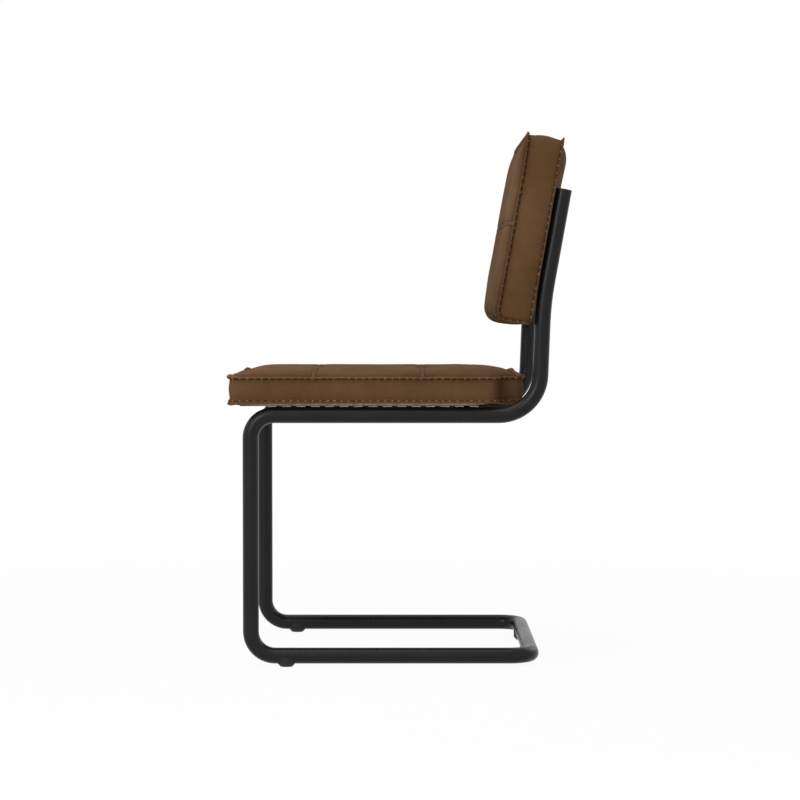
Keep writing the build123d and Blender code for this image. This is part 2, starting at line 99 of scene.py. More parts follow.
def ranged(tree, value, start, end, low, high):
    """A value that runs from low to high while another runs from start to end."""
    made = tree.nodes.new("ShaderNodeMapRange")
    for socket, limit in zip(("From Min", "From Max", "To Min", "To Max"), (start, end, low, high)):
        made.inputs[socket].default_value = limit
    tree.links.new(value, made.inputs["Value"])
    return made.outputs["Result"]


def roughen_by(finish, shader, share, low, high):
    """Lets a texture vary the roughness between two values."""
    rough = ranged(finish.node_tree, share, 0.3, 0.7, low, high)
    finish.node_tree.links.new(rough, shader.inputs["Roughness"])


def relief(finish, shader, *layers):
    """Fine height on a surface, from pairs of texture and depth in metres."""
    tree = finish.node_tree
    below = None
    for height, depth in layers:
        bump = tree.nodes.new("ShaderNodeBump")
        bump.inputs["Distance"].default_value = depth
        tree.links.new(height, bump.inputs["Height"])
        if below is not None:
            tree.links.new(below, bump.inputs["Normal"])
        below = bump.outputs["Normal"]
    tree.links.new(below, shader.inputs["Normal"])


def named(*starts):
    """The CAD pieces whose names begin in one of these ways."""
    return [name for name in sorted(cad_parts) if name.startswith(starts)]


def dress(finish, *starts):
    """Gives CAD pieces their finish."""
    for name in named(*starts):
        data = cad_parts[name].data
        data.materials.clear()
        data.materials.append(finish)


powder_coat, shader = finish_of("satin_black_powder_coat", 0.3, specular=0.17)
mottle = texture(powder_coat, "ShaderNodeTexNoise", 14, Detail=3.0)
colour_by(powder_coat, shader, mottle, (0.3, srgb(23, 23, 24)), (0.7, srgb(30, 30, 31)))
roughen_by(powder_coat, shader, mottle, 0.27, 0.34)
orange_peel = texture(powder_coat, "ShaderNodeTexNoise", 900, Detail=2.0)
relief(powder_coat, shader, (orange_peel, 0.00003))
dress(powder_coat, "side_tube", "rear_floor_bar", "seat_strap", "back_tab")

# End caps, glides and spacers
# Injection moulded black plastic: plugs pressed into the upright tops, saddles screwed under the tube,
# and rings that hold the seat clear of its straps.

black_plastic, shader = finish_of("black_moulded_plastic", 0.5, specular=0.25)
mottle = texture(black_plastic, "ShaderNodeTexNoise", 40, Detail=2.0)
colour_by(black_plastic, shader, mottle, (0.3, srgb(22, 22, 23)), (0.7, srgb(31, 31, 32)))
relief(black_plastic, shader, (texture(black_plastic, "ShaderNodeTexNoise", 1600, Detail=1.0), 0.00003))
dress(black_plastic, "upright_cap", "front_glide", "rear_glide", "seat_spacers")

# Bolts, screws, nuts and staples
# Black oxide socket bolts with washers hold the pads to the straps and tabs.
# Zinc plated tee nuts take them in the boards, and zinc plated wire staples and screws do the rest.

black_oxide, shader = finish_of("black_oxide_steel", 0.35, metallic=0.6)
mottle = texture(black_oxide, "ShaderNodeTexNoise", 260, Detail=3.0)
colour_by(black_oxide, shader, mottle, (0.3, srgb(34, 34, 36)), (0.7, srgb(52, 52, 54)))
dress(black_oxide, "seat_bolts", "seat_washers", "back_bolts", "back_washers")

zinc_plate, shader = finish_of("zinc_plated_steel", 0.3, metallic=1.0)
mottle = texture(zinc_plate, "ShaderNodeTexNoise", 320, Detail=3.0)
colour_by(zinc_plate, shader, mottle, (0.3, srgb(176, 176, 174)), (0.7, srgb(214, 213, 208)))
roughen_by(zinc_plate, shader, mottle, 0.22, 0.4)
dress(zinc_plate, "seat_staples", "glide_screws", "seat_tee_nuts", "back_tee_nuts")

# Boards and dust cover
# Plywood boards inside the pads take the fixings. A black non-woven cloth closes the seat from below.

plywood, shader = finish_of("raw_plywood", 0.7, specular=0.3)
figure = texture(plywood, "ShaderNodeTexNoise", 60, stretch=(1, 0.08, 1), Detail=6.0)
colour_by(plywood, shader, figure, (0.3, srgb(168, 132, 88)), (0.7, srgb(206, 172, 126)))
relief(plywood, shader, (figure, 0.0002))
dress(plywood, "seat_board", "back_board")

dust_cloth, shader = finish_of("black_non_woven_cloth", 0.9, specular=0.2)
fibres = texture(dust_cloth, "ShaderNodeTexVoronoi", 420)
colour_by(dust_cloth, shader, fibres, (0.1, srgb(18, 18, 18)), (0.7, srgb(34, 34, 34)))
relief(dust_cloth, shader, (fibres, 0.0003))
dress(dust_cloth, "seat_dust_cover")

# Seat cushion
# A foam pad on its board under one boxed cover of brown semi-matt leather: nine patches on top, a side band
# and a bottom panel. A cloth simulation fills the leather out between its seams, held where they are sewn.

LEATHER_DARK = srgb(90, 64, 40)
LEATHER_LIGHT = srgb(107, 79, 53)
PAINTED_SEAM_SHADE = (0.38, 0.33, 0.29, 1.0)   # painted shade: the leather is darkened beside a border seam, in place of the shadow where it runs into the seam
CROWN_SHADE_REACH = 0.015
BAND_SHADE_REACH = 0.006
BAND_SHADE_SHARE = 0.15              # share of the painted seam shade that shows on the bands
LIP_WIDTH = 0.0055
LIP_THICKNESS = 0.0022
CORNER_RADIUS = 0.011
COLUMN_SEAM = 0.075           # from the middle of the chair to each lengthwise seam
CELL = 0.006                  # size of the cover's mesh before it is subdivided
STITCH_PITCH = 0.0115

FILL_PRESSURE = 4.0
FILL_FRAMES = 20
FILL_SLACK = 0.006            # share by which the leather is cut larger than the pad
FILL_CAP = 0.0012             # most that a point may swell, which the crowns leave room for
band_low, band_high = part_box("seat_side_band")
patch_low, patch_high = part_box("seat_patch_middle_centre")
SEAT_HALF = band_high.x - LIP_WIDTH
SEAT_FRONT = band_low.y + LIP_WIDTH
SEAT_REAR = band_high.y - LIP_WIDTH
SEAT_LOW_SEAM = band_low.z + LIP_THICKNESS / 2
SEAT_TOP_SEAM = band_high.z - LIP_THICKNESS / 2
SEAT_CROWN = patch_high.z - SEAT_TOP_SEAM - FILL_CAP
SEAT_BELLY = SEAT_LOW_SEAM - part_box("seat_dust_cover")[1].z
FRONT_SEAM_DRAW = 0.0058      # how far the front cross seam is drawn forward
SEAT_ROWS = [patch_low.y - FRONT_SEAM_DRAW, patch_high.y]
SEAT_SHOULDER = 0.070         # run over which the crown rises
SEAT_BELLY_SHOULDER = 0.014
FRONT_FULLER = 0.85           # the crown rises sooner from the front edge
EDGE_SHARE = 0.13             # share of a crown that rises in a tight roll beside its seam
EDGE_RUN = 0.004
TONGUE_STEP = 0.035           # how far the rear tongue is drawn in from each side
TONGUE_LENGTH = 0.042
TONGUE_HALF = SEAT_HALF - TONGUE_STEP
NOTCH_START = SEAT_REAR - TONGUE_LENGTH
NOTCH_RADIUS = 0.022
SQUARE_MARGIN = 0.020         # beside the lengthwise seams, kept square
CORNER_TURNS = [0, 35, 62, 84]    # degrees round the shoulder's corner, and then round the notch
NOTCH_TURNS = [20, 45, 70, 90]
BAND_CELLS = 6
BORDER_CREASE = 0.8           # sharpness of the border and patch seams
PATCH_CREASE = 0.4
FOLD_FACING = 0.5             # least that a spot with folds faces up
SIDE_DRAW = 0.0015            # how far each side pulls in between its corners
BAND_BULGE = 0.0014
SEAM_DIP = 0.0005             # how far a patch seam lies below the crown
SEAM_DIP_RUN = 0.009
PUCKER_DEPTH = 0.0004
PUCKER_REACH = 0.010
WAVE_DEPTH = 0.0007
WAVE_SIZE = 0.055
FOLD_WIDTH = 0.0030
SEAT_FOLDS = [                # lasting folds along the seat: place across, start, end and depth
    (0.148, -0.085, 0.015, 0.0007), (0.122, -0.060, 0.030, 0.0005), (0.035, -0.080, 0.000, 0.0006),
    (0.165, -0.245, -0.165, 0.0006), (0.055, -0.240, -0.180, 0.0005), (0.160, 0.085, 0.165, 0.0006),
    (-0.140, -0.100, 0.020, 0.0006), (-0.030, 0.060, 0.150, 0.0005), (-0.160, 0.070, 0.140, 0.0006)]


def leather_finish(name, stretch, dark=LEATHER_DARK, light=LEATHER_LIGHT):
    """Corrected-grain leather, mottled and finely pebbled, with soft creases along one direction."""
    made, shader = finish_of(name, 0.78, specular=0.04)
    clouds = texture(made, "ShaderNodeTexNoise", 9, Detail=5.0, Roughness=0.6)
    colour_by(made, shader, clouds, (0.3, dark), (0.72, light))
    roughen_by(made, shader, clouds, 0.84, 0.72)
    # Painted shade: the colour is multiplied darker by a value that each point carries, strongest where the
    # crown runs into a border seam, in place of the shadow in the seam's valley.
    shade_attribute = made.node_tree.nodes.new("ShaderNodeAttribute")
    shade_attribute.attribute_name = "painted_seam_shade"
    shade = made.node_tree.nodes.new("ShaderNodeMix")
    shade.data_type = "RGBA"
    shade.blend_type = "MULTIPLY"
    share, plain, tint = shade.inputs[0], shade.inputs[6], shade.inputs[7]
    tint.default_value = PAINTED_SEAM_SHADE
    made.node_tree.links.new(shade_attribute.outputs["Fac"], share)
    made.node_tree.links.new(shader.inputs["Base Color"].links[0].from_socket, plain)
    made.node_tree.links.new(shade.outputs[2], shader.inputs["Base Color"])
    creases = texture(made, "ShaderNodeTexNoise", 70, stretch=stretch, Detail=4.0, Distortion=0.6)
    pebbles = texture(made, "ShaderNodeTexVoronoi", 620, Randomness=1.0)
    pores = texture(made, "ShaderNodeTexNoise", 1500, Detail=2.0)
    relief(made, shader, (creases, 0.0008), (pebbles, 0.00016), (pores, 0.00006))
    return made


def steps(start, end, size=CELL):
    """Evenly spaced places from start to end, both included."""
    return np.linspace(start, end, max(2, round(abs(end - start) / size) + 1))


def joined(*runs):
    """Runs of places laid end to end, with each shared end kept once."""
    places = list(runs[0])
    for run in runs[1:]:
        places += list(run[1:])
    return np.array(places)


def patched(half):
    """Places across a pad that is sewn of three columns of patches."""
    return joined(steps(-half, -COLUMN_SEAM), steps(-COLUMN_SEAM, COLUMN_SEAM), steps(COLUMN_SEAM, half))


def nearest_count(places, wanted):
    return int(np.argmin(np.abs(places - wanted)))


def lattice_shell(across, along, up):
    """The skin of a box as a lattice: the three counts of each vertex, and its four-sided faces."""
    index = {}

    def vertex(*place):
        return index.setdefault(place, len(index))

    faces = []
    for i in range(across):
        for j in range(along):
            low = [vertex(i, j, 0), vertex(i, j + 1, 0), vertex(i + 1, j + 1, 0), vertex(i + 1, j, 0)]
            high = [vertex(i, j, up), vertex(i + 1, j, up), vertex(i + 1, j + 1, up), vertex(i, j + 1, up)]
            faces += [low, high]
    for i in range(across):
        for k in range(up):
            for j, a, b in ((0, i, i + 1), (along, i + 1, i)):
                faces.append([vertex(a, j, k), vertex(b, j, k), vertex(b, j, k + 1), vertex(a, j, k + 1)])
    for j in range(along):
        for k in range(up):
            for i, a, b in ((across, j, j + 1), (0, j + 1, j)):
                faces.append([vertex(i, a, k), vertex(i, b, k), vertex(i, b, k + 1), vertex(i, a, k + 1)])
    return index, np.array(list(index)), faces


def level_ring(at, k, last_i, last_j):
    """The vertices round one level of a pad, in order."""
    ring = [(i, 0, k) for i in range(last_i)] + [(last_i, j, k) for j in range(last_j)]
    ring += [(i, last_j, k) for i in range(last_i, 0, -1)] + [(0, j, k) for j in range(last_j, 0, -1)]
    return [at[place] for place in ring]


def closed_up(ring):
    return ring + ring[:1]


def draw_in(p, q):
    """How far the square corner of a lattice shrinks to a quarter circle, at distances into the corner."""
    within = (p > 0) & (q > 0)
    return within, np.where(within, np.maximum(p, q) / np.maximum(np.hypot(p, q), 1e-9), 1.0)


def round_corners(x, y, half, end, side, radius):
    """Rounds off the two corners at one end of a square lattice."""
    p = np.abs(x) - half + radius
    q = side * (y - end) + radius
    within, shrink = draw_in(p, q)
    new_x = np.where(within, np.sign(x) * (half - radius + p * shrink), x)
    new_y = np.where(within, end + side * (q * shrink - radius), y)
    return new_x, new_y


def arc_share(distance, run, rise):
    """Share of a crown's height reached at a distance in from its seam, along an arc that levels out."""
    radius = (run ** 2 + rise ** 2) / (2 * rise)
    left = np.clip(run - distance, 0, run)
    return (rise - radius + np.sqrt(radius ** 2 - left ** 2)) / rise


def crown_share(distance, run, rise):
    """The same with a tight roll of leather beside the seam before the long arc."""
    roll = 1 - np.exp(-np.clip(distance, 0, None) / EDGE_RUN)
    return EDGE_SHARE * roll + (1 - EDGE_SHARE) * arc_share(distance, run, rise)


def soft_least(shares, hardness=3.0):
    """The least of several shares, with the corner between two of them rounded off."""
    missing = sum(np.clip(1 - share, 0, 1) ** hardness for share in shares) ** (1 / hardness)
    return np.clip(1 - missing, 0, 1)


def chord(radius, distance):
    """Half the width of a circle at a distance from its middle."""
    return np.sqrt(np.clip(radius ** 2 - np.clip(distance, 0, radius) ** 2, 0, None))


def seat_half_width(y):
    """Half the seat's width along its depth: full over the rails, then a tongue between the tubes."""
    shoulder = SEAT_HALF - CORNER_RADIUS + chord(CORNER_RADIUS, y - NOTCH_START + CORNER_RADIUS)
    tongue = TONGUE_HALF + NOTCH_RADIUS - chord(NOTCH_RADIUS, NOTCH_START + NOTCH_RADIUS - y)
    return np.where(y <= NOTCH_START, shoulder, tongue)


def side_pull(y):
    """How far each side of the seat is drawn in, between its front corner and the notch."""
    depth = np.clip((y - SEAT_FRONT) / (NOTCH_START - SEAT_FRONT), 0, 1)
    return SIDE_DRAW * np.sin(math.pi * depth)


def seat_plan(x, y):
    """Moves points of a square lattice to their places within the seat's outline."""
    kept = COLUMN_SEAM + SQUARE_MARGIN
    half = seat_half_width(y) - side_pull(y)
    beyond = np.clip(np.abs(x) - kept, 0, None) * (half - kept) / (SEAT_HALF - kept)
    x = np.where(np.abs(x) > kept, np.sign(x) * (kept + beyond), x)
    x, y = round_corners(x, y, SEAT_HALF, SEAT_FRONT, -1, CORNER_RADIUS)
    return round_corners(x, y, TONGUE_HALF, SEAT_REAR, 1, CORNER_RADIUS)


def seat_shares(x, y, run, rise):
    """How full the seat is at a point of its plan, from 0 at the border seam to 1 over the middle."""
    notch = np.hypot(np.clip(TONGUE_HALF - np.abs(x), 0, None), np.clip(NOTCH_START - y, 0, None))
    from_side = crown_share(SEAT_HALF - side_pull(y) - np.abs(x), run, rise)
    from_front = crown_share(y - SEAT_FRONT, FRONT_FULLER * run, rise)
    from_rear = crown_share(SEAT_REAR - y, run, rise)
    return soft_least([from_side, from_front, from_rear, crown_share(notch, run, rise)])


def seam_dip(x, y, rows):
    """How far the leather is drawn down beside its patch seams."""
    near = [np.exp(-((np.abs(x) - COLUMN_SEAM) / SEAM_DIP_RUN) ** 2)]
    near += [np.exp(-((y - row) / SEAM_DIP_RUN) ** 2) for row in rows]
    return SEAM_DIP * np.max(near, axis=0)


def unit(vectors):
    return vectors / np.maximum(np.linalg.norm(vectors, axis=1, keepdims=True), 1e-12)


def outward(ring):
    """Level directions that point away from a closed ring of points."""
    along = np.roll(ring, -1, axis=0) - np.roll(ring, 1, axis=0)
    return unit(np.stack([along[:, 1], -along[:, 0], np.zeros(len(ring))], axis=1))


def new_piece(name, points, faces, finish):
    """A smooth mesh piece with all its faces turned outwards."""
    data = bpy.data.meshes.new(name)
    data.from_pydata([tuple(point) for point in points], [], faces)
    shell = bmesh.new()
    shell.from_mesh(data)
    bmesh.ops.recalc_face_normals(shell, faces=shell.faces)
    shell.to_mesh(data)
    shell.free()
    data.materials.append(finish)
    data.polygons.foreach_set("use_smooth", [True] * len(data.polygons))
    made = bpy.data.objects.new(name, data)
    scene.collection.objects.link(made)
    return made


def of_vertices(data, what):
    """Where a mesh's vertices are, or which way they face."""
    flat = np.empty(len(data.vertices) * 3)
    data.vertices.foreach_get(what, flat)
    return flat.reshape(-1, 3)


def set_points(data, points):
    data.vertices.foreach_set("co", points.ravel())
    data.update()


def as_it_stands(piece):
    """A copy of a piece's mesh with its modifiers applied."""
    return bpy.data.meshes.new_from_object(piece.evaluated_get(bpy.context.evaluated_depsgraph_get()))


def fill_out(piece, held):
    """Lets the cover fill out between its held seams as cloth under pressure, up to a cap."""
    start = of_vertices(piece.data, "co")
    group = piece.vertex_groups.new(name="held_seams")
    group.add([int(index) for index in held], 1.0, "REPLACE")
    cloth = piece.modifiers.new("cover", "CLOTH")
    cloth.settings.vertex_group_mass = group.name
    cloth.settings.mass = 0.4
    cloth.settings.tension_stiffness = 40
    cloth.settings.compression_stiffness = 40
    cloth.settings.bending_stiffness = 2.0
    cloth.settings.use_pressure = True
    cloth.settings.uniform_pressure_force = FILL_PRESSURE
    cloth.settings.shrink_min = -FILL_SLACK
    cloth.settings.effector_weights.gravity = 0
    cloth.collision_settings.use_collision = False
    cloth.point_cache.frame_start = 1
    cloth.point_cache.frame_end = FILL_FRAMES
    for number in range(1, FILL_FRAMES + 1):
        scene.frame_set(number)
    settled = as_it_stands(piece)
    moved = of_vertices(settled, "co") - start
    reach = np.linalg.norm(moved, axis=1, keepdims=True)
    piece.modifiers.clear()
    piece.vertex_groups.clear()
    bpy.data.meshes.remove(settled)
    set_points(piece.data, start + moved * np.minimum(1, FILL_CAP / np.maximum(reach, 1e-9)))
    scene.frame_set(1)


def crease_edges(data, chains):
    """Keeps the folds at sewn seams from rounding off when the cover is subdivided."""
    places = {tuple(sorted(edge.vertices)): edge.index for edge in data.edges}
    values = np.zeros(len(data.edges))
    for chain, value in chains:
        for pair in zip(chain[:-1], chain[1:]):
            values[places[tuple(sorted(int(v) for v in pair))]] = value
    data.attributes.new("crease_edge", "FLOAT", "EDGE").data.foreach_set("value", values)


def subdivide(piece):
    """Makes one subdivision of the cover permanent."""
    piece.modifiers.new("finer", "SUBSURF").levels = 1
    finer = as_it_stands(piece)
    old = piece.data
    piece.modifiers.clear()
    piece.data = finer
    finer.name = old.name
    bpy.data.meshes.remove(old)


def taken_at(wanted, places, values):
    """Points or directions at the wanted lengths along a path."""
    return np.stack([np.interp(wanted, places, values[:, axis]) for axis in range(3)], axis=1)


def even_path(path, directions, spacing, closed):
    """The lengths, points and directions along a path at even spacing."""
    def run_on(values):
        return np.vstack([values, values[:1]]) if closed else np.asarray(values)

    path = run_on(path)
    lengths = np.append(0, np.cumsum(np.linalg.norm(np.diff(path, axis=0), axis=1)))
    places = np.linspace(0, lengths[-1], round(lengths[-1] / spacing) + 1)
    if closed:
        places = places[:-1]
    directions = [unit(taken_at(places, lengths, run_on(one))) for one in directions]
    return places, taken_at(places, lengths, path), directions


def fold_depth(across, along, folds):
    """How deep the lasting folds are at points of a pad, each a shallow groove that tapers at its ends."""
    deep = np.zeros(len(across))
    for place, start, end, depth in folds:
        taper = np.sin(math.pi * np.clip((along - start) / (end - start), 0, 1))
        deep += depth * taper * np.exp(-((across - place) / FOLD_WIDTH) ** 2)
    return deep


def marked_tree(seams):
    """A search tree of marks along some seams, and how far along its seam each mark is."""
    marks, lengths = [], []
    for seam in seams:
        places, path, _ = even_path(seam, (), STITCH_PITCH / 6, False)
        marks += list(path)
        lengths += list(places)
    tree = kdtree.KDTree(len(marks))
    for index, mark in enumerate(marks):
        tree.insert(mark, index)
    tree.balance()
    return tree, lengths


def settle(piece, borders, seams, folds, facing):
    """Puckers the leather along its stitches, lets it lie in slow waves and presses in its folds.

    Each point also gets a painted shade, darkest where the crown runs into its border, in place of the shadow
    in the seam's valley.
    """
    tree, lengths = marked_tree(borders + seams)
    border_tree, _ = marked_tree(borders)
    points, normals = of_vertices(piece.data, "co"), of_vertices(piece.data, "normal")
    lift = np.empty(len(points))
    gaps = np.empty(len(points))
    for index, point in enumerate(points):
        _, nearest, gap = tree.find(point)
        near = math.exp(-(gap / PUCKER_REACH) ** 2)
        pucker = math.cos(2 * math.pi * lengths[nearest] / STITCH_PITCH)
        wave = noise.noise(Vector(point) / WAVE_SIZE)
        lift[index] = near * PUCKER_DEPTH * pucker + (1 - near) * WAVE_DEPTH * wave
        gaps[index] = border_tree.find(point)[2]
    set_points(piece.data, points + normals * (lift - folds)[:, None])
    # Painted shade beside the border seams, wider and stronger on the crown than on the bands, stands in for
    # the shadow in the seam's valley.
    on_crown = np.clip(normals @ facing, 0, 1)
    reach = BAND_SHADE_REACH + (CROWN_SHADE_REACH - BAND_SHADE_REACH) * on_crown
    painted_shades = np.exp(-(gaps / reach) ** 2) * (BAND_SHADE_SHARE + (1 - BAND_SHADE_SHARE) * on_crown)
    piece.data.attributes.new("painted_seam_shade", "FLOAT", "POINT").data.foreach_set("value", painted_shades)


def wear_cover(piece, *nodes):
    """Puts a finished cushion on the chair in place of its CAD pieces."""
    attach(piece, "root")
    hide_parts(*nodes)


seat_leather = leather_finish("brown_seat_leather", (1, 0.25, 1))
corner_middle = NOTCH_START - CORNER_RADIUS
corner_run = corner_middle + CORNER_RADIUS * np.sin(np.radians(CORNER_TURNS))
notch_run = NOTCH_START + NOTCH_RADIUS * (1 - np.cos(np.radians(NOTCH_TURNS)))
seat_xs = patched(SEAT_HALF)
seat_ys = joined(steps(SEAT_FRONT, SEAT_ROWS[0]), steps(SEAT_ROWS[0], SEAT_ROWS[1]),
                 steps(SEAT_ROWS[1], corner_middle), corner_run, np.append(corner_run[-1], notch_run),
                 steps(notch_run[-1], SEAT_REAR))
seat_zs = steps(0, 1, 1 / BAND_CELLS)
LAST_X, LAST_Y, LAST_Z = len(seat_xs) - 1, len(seat_ys) - 1, len(seat_zs) - 1
seat_at, counts, faces = lattice_shell(LAST_X, LAST_Y, LAST_Z)
column, row, level = counts.T
plan_x, plan_y = seat_plan(seat_xs[column], seat_ys[row])

fullness = seat_shares(plan_x, plan_y, SEAT_SHOULDER, SEAT_CROWN)
crown_z = SEAT_TOP_SEAM + SEAT_CROWN * fullness - seam_dip(plan_x, plan_y, SEAT_ROWS)
belly_z = SEAT_LOW_SEAM - SEAT_BELLY * seat_shares(plan_x, plan_y, SEAT_BELLY_SHOULDER, SEAT_BELLY)
wall_z = SEAT_LOW_SEAM + (SEAT_TOP_SEAM - SEAT_LOW_SEAM) * seat_zs[level]
seat_z = np.where(level == LAST_Z, crown_z, np.where(level == 0, belly_z, wall_z))
seat_points = np.stack([plan_x, plan_y, seat_z], axis=1)
seat_rings = [level_ring(seat_at, k, LAST_X, LAST_Y) for k in range(LAST_Z + 1)]
seat_points[seat_rings[0], 2] = SEAT_LOW_SEAM
seat_out = outward(seat_points[seat_rings[0]])
for k, ring in enumerate(seat_rings):
    seat_points[ring] += seat_out * BAND_BULGE * math.sin(math.pi * seat_zs[k])

seat_seams = [[seat_at[nearest_count(seat_xs, x), j, LAST_Z] for j in range(LAST_Y + 1)]
              for x in (-COLUMN_SEAM, COLUMN_SEAM)]
seat_seams += [[seat_at[i, nearest_count(seat_ys, y), LAST_Z] for i in range(LAST_X + 1)] for y in SEAT_ROWS]
seat_borders = [seat_rings[0], seat_rings[LAST_Z]]
seat_cushion = new_piece("seat_cushion", seat_points, faces, seat_leather)
crease_edges(seat_cushion.data, [(closed_up(ring), BORDER_CREASE) for ring in seat_borders]
             + [(seam, PATCH_CREASE) for seam in seat_seams])
fill_out(seat_cushion, set(np.flatnonzero(level == 0)).union(*seat_borders, *seat_seams))
subdivide(seat_cushion)
points, normals = of_vertices(seat_cushion.data, "co"), of_vertices(seat_cushion.data, "normal")
folds = fold_depth(points[:, 0], points[:, 1], SEAT_FOLDS) * (normals[:, 2] > FOLD_FACING)
settle(seat_cushion, [seat_points[seam] for seam in seat_borders], [seat_points[seam] for seam in seat_seams],
       folds, np.array([0.0, 0.0, 1.0]))
wear_cover(seat_cushion, "seat_foam", "seat_side_band", "seat_bottom_panel", *named("seat_patch"))

# Seat seams
# Where two pieces of leather meet at the border, their edges stand out as a double lip with pale stitches,
# between which dark rods paint the shade of the needle holes in the seam's root. The patches meet in low
# welts with a row of dark stitches on each side.

STITCH_LENGTH = 0.0078
STITCH_RADIUS = 0.0008
STITCH_RISE = 0.3             # share of its radius that a stitch is raised
STITCH_UNEVEN = 0.0009        # how unevenly the stitches are set and drawn
KNOT_LENGTH = 0.0024
LIP_STITCHES = 0.0022         # from a border seam to the stitches through its lip
WELT_HALF = 0.0032
WELT_HEIGHT = 0.0016
WELT_STITCHES = 0.0042        # from the middle of a welt to each row of stitches
WELT_STITCH_RADIUS = 0.0006
EAR_RUN = 0.008
TOP_FLARE = 21.0              # degrees that the upper lip rises from level
LOW_FLARE = 64.0              # degrees that the lower lip hangs from level
LOW_LIP_WIDTH = 0.0053
LOW_LIP_FRONT = 0.0084        # its width at the front, from where it narrows
LOW_LIP_RUN = 0.050
RAW_PLY_WIDTH = 0.0092        # the inner ply of the lower lip, which hangs lower and shows its raw edge
RAW_PLY_THICKNESS = 0.0011
PLY_START = 2                 # mesh cells from the front corner to the ply
PLY_FRONT_TAPER, PLY_FRONT_RUN = 0.0020, 0.012
PLY_REAR_TAPER, PLY_REAR_RUN = 0.0040, 0.010
LOW_EAR_LIFT = 0.003          # how far the lips bend away at the corners
TOP_EAR_LIFT = 0.005
LIP_FLUTTER = 0.0004          # waviness of lips and plies, and then of welts and edges
FINE_FLUTTER = 0.0002
LIP_ROOT = -0.27              # share of a lip's width that is sunk in the seam

half_lip = LIP_THICKNESS / 2
LIP_SECTION = [(LIP_ROOT, -half_lip), (0.8, -half_lip), (0.95, -0.7 * half_lip), (1.0, -0.4 * half_lip),
               (0.9, 0.0), (1.0, 0.4 * half_lip), (0.95, 0.7 * half_lip), (0.8, half_lip),
               (LIP_ROOT, half_lip)]
PLY_SECTION = [(LIP_ROOT, -RAW_PLY_THICKNESS / 2), (0.97, -RAW_PLY_THICKNESS / 2), (1.0, 0.0),
               (0.97, RAW_PLY_THICKNESS / 2), (LIP_ROOT, RAW_PLY_THICKNESS / 2)]
WELT_SECTION = [(-0.6, -WELT_HALF), (0.0, -WELT_HALF), (0.7, -0.75 * WELT_HALF), (1.0, -0.4 * WELT_HALF),
                (0.85, -0.12 * WELT_HALF), (0.45, 0.0), (0.85, 0.12 * WELT_HALF), (1.0, 0.4 * WELT_HALF),
                (0.7, 0.75 * WELT_HALF), (0.0, WELT_HALF), (-0.6, WELT_HALF)]


def thread_finish(name, dark, light):
    """Twisted thread, a little uneven in colour."""
    made, shader = finish_of(name, 0.7, specular=0.1)
    twist = texture(made, "ShaderNodeTexWave", 260, Distortion=2.0)
    colour_by(made, shader, twist, (0.2, dark), (0.8, light))
    relief(made, shader, (twist, 0.0001))
    return made


# Painted highlight: the upper lip is the seat leather in a lighter colour, standing in for the light that its
# rolled rim catches.
highlit_upper_lip_finish = leather_finish("painted_highlight_upper_lip", (1, 1, 1), srgb(106, 78, 54), srgb(128, 97, 71))
# The dark rods are thread along the welts, and painted shade of the needle holes along the border lips.
shade_and_thread_rods = thread_finish("painted_hole_shade_and_brown_thread", srgb(54, 31, 14), srgb(74, 47, 25))
pale_thread = thread_finish("pale_waxed_thread", srgb(138, 106, 76), srgb(172, 138, 104))
raw_edge, shader = finish_of("raw_leather_edge", 0.8, specular=0.1)
colour_by(raw_edge, shader, texture(raw_edge, "ShaderNodeTexNoise", 120, Detail=4.0),
          (0.3, srgb(122, 90, 63)), (0.7, srgb(152, 118, 88)))
relief(raw_edge, shader, (texture(raw_edge, "ShaderNodeTexNoise", 1500, Detail=2.0), 0.0002))


def nearness(path, spots):
    """How near each point of a path is to the nearest of some spots, from 0 to 1."""
    gaps = np.min([np.linalg.norm(path - spot, axis=1) for spot in spots], axis=0)
    return np.exp(-(gaps / EAR_RUN) ** 2)


def flutter(places, path, depth):
    """A slight waviness that follows the stitches and drifts along a seam."""
    drift = np.array([noise.noise(Vector(point) * 35) for point in path])
    return depth * (0.7 * np.cos(2 * math.pi * places / STITCH_PITCH) + 1.6 * drift)


def sweep(path, reach, side, section, widths, curl, closed):
    """A strip of leather along a path. Its section gives shares of the width and offsets to the side."""
    points = []
    for share, off in section:
        aside = max(share, 0) ** 2 * curl + off
        points.append(path + reach * (share * widths)[:, None] + side * aside[:, None])
    points = np.stack(points, axis=1).reshape(-1, 3)
    size = len(section)
    faces = []
    for index in range(len(path) if closed else len(path) - 1):
        here, there = index * size, (index + 1) % len(path) * size
        for k in range(size):
            after = (k + 1) % size
            faces.append([here + k, there + k, there + after, here + after])
    if not closed:
        faces.append(list(range(size)))
        faces.append([len(points) - 1 - k for k in range(size)])
    return points, faces


def rods(centres, alongs, ups, lengths, radius, sides=6):
    """Short round-ended rods of thread, one at each centre."""
    turns = np.arange(sides) * 2 * math.pi / sides
    template = []
    for place, share in ((-0.5, 0.45), (-0.36, 1.0), (0.36, 1.0), (0.5, 0.45)):
        for turn in turns:
            template.append((place, share * radius * math.cos(turn), share * radius * math.sin(turn)))
    template = np.array(template)
    across = unit(np.cross(ups, alongs))
    ups = np.cross(alongs, across)
    points = centres[:, None] + template[None, :, :1] * (alongs * lengths[:, None])[:, None]
    points = points + template[None, :, 1:2] * across[:, None] + template[None, :, 2:] * ups[:, None]
    rod_faces = []
    for low in (0, sides, 2 * sides):
        for k in range(sides):
            after = (k + 1) % sides
            rod_faces.append([low + k, low + after, low + sides + after, low + sides + k])
    rod_faces.append(list(range(sides))[::-1])
    rod_faces.append([3 * sides + k for k in range(sides)])
    starts = range(0, len(centres) * len(template), len(template))
    return points.reshape(-1, 3), [[v + start for v in face] for start in starts for face in rod_faces]


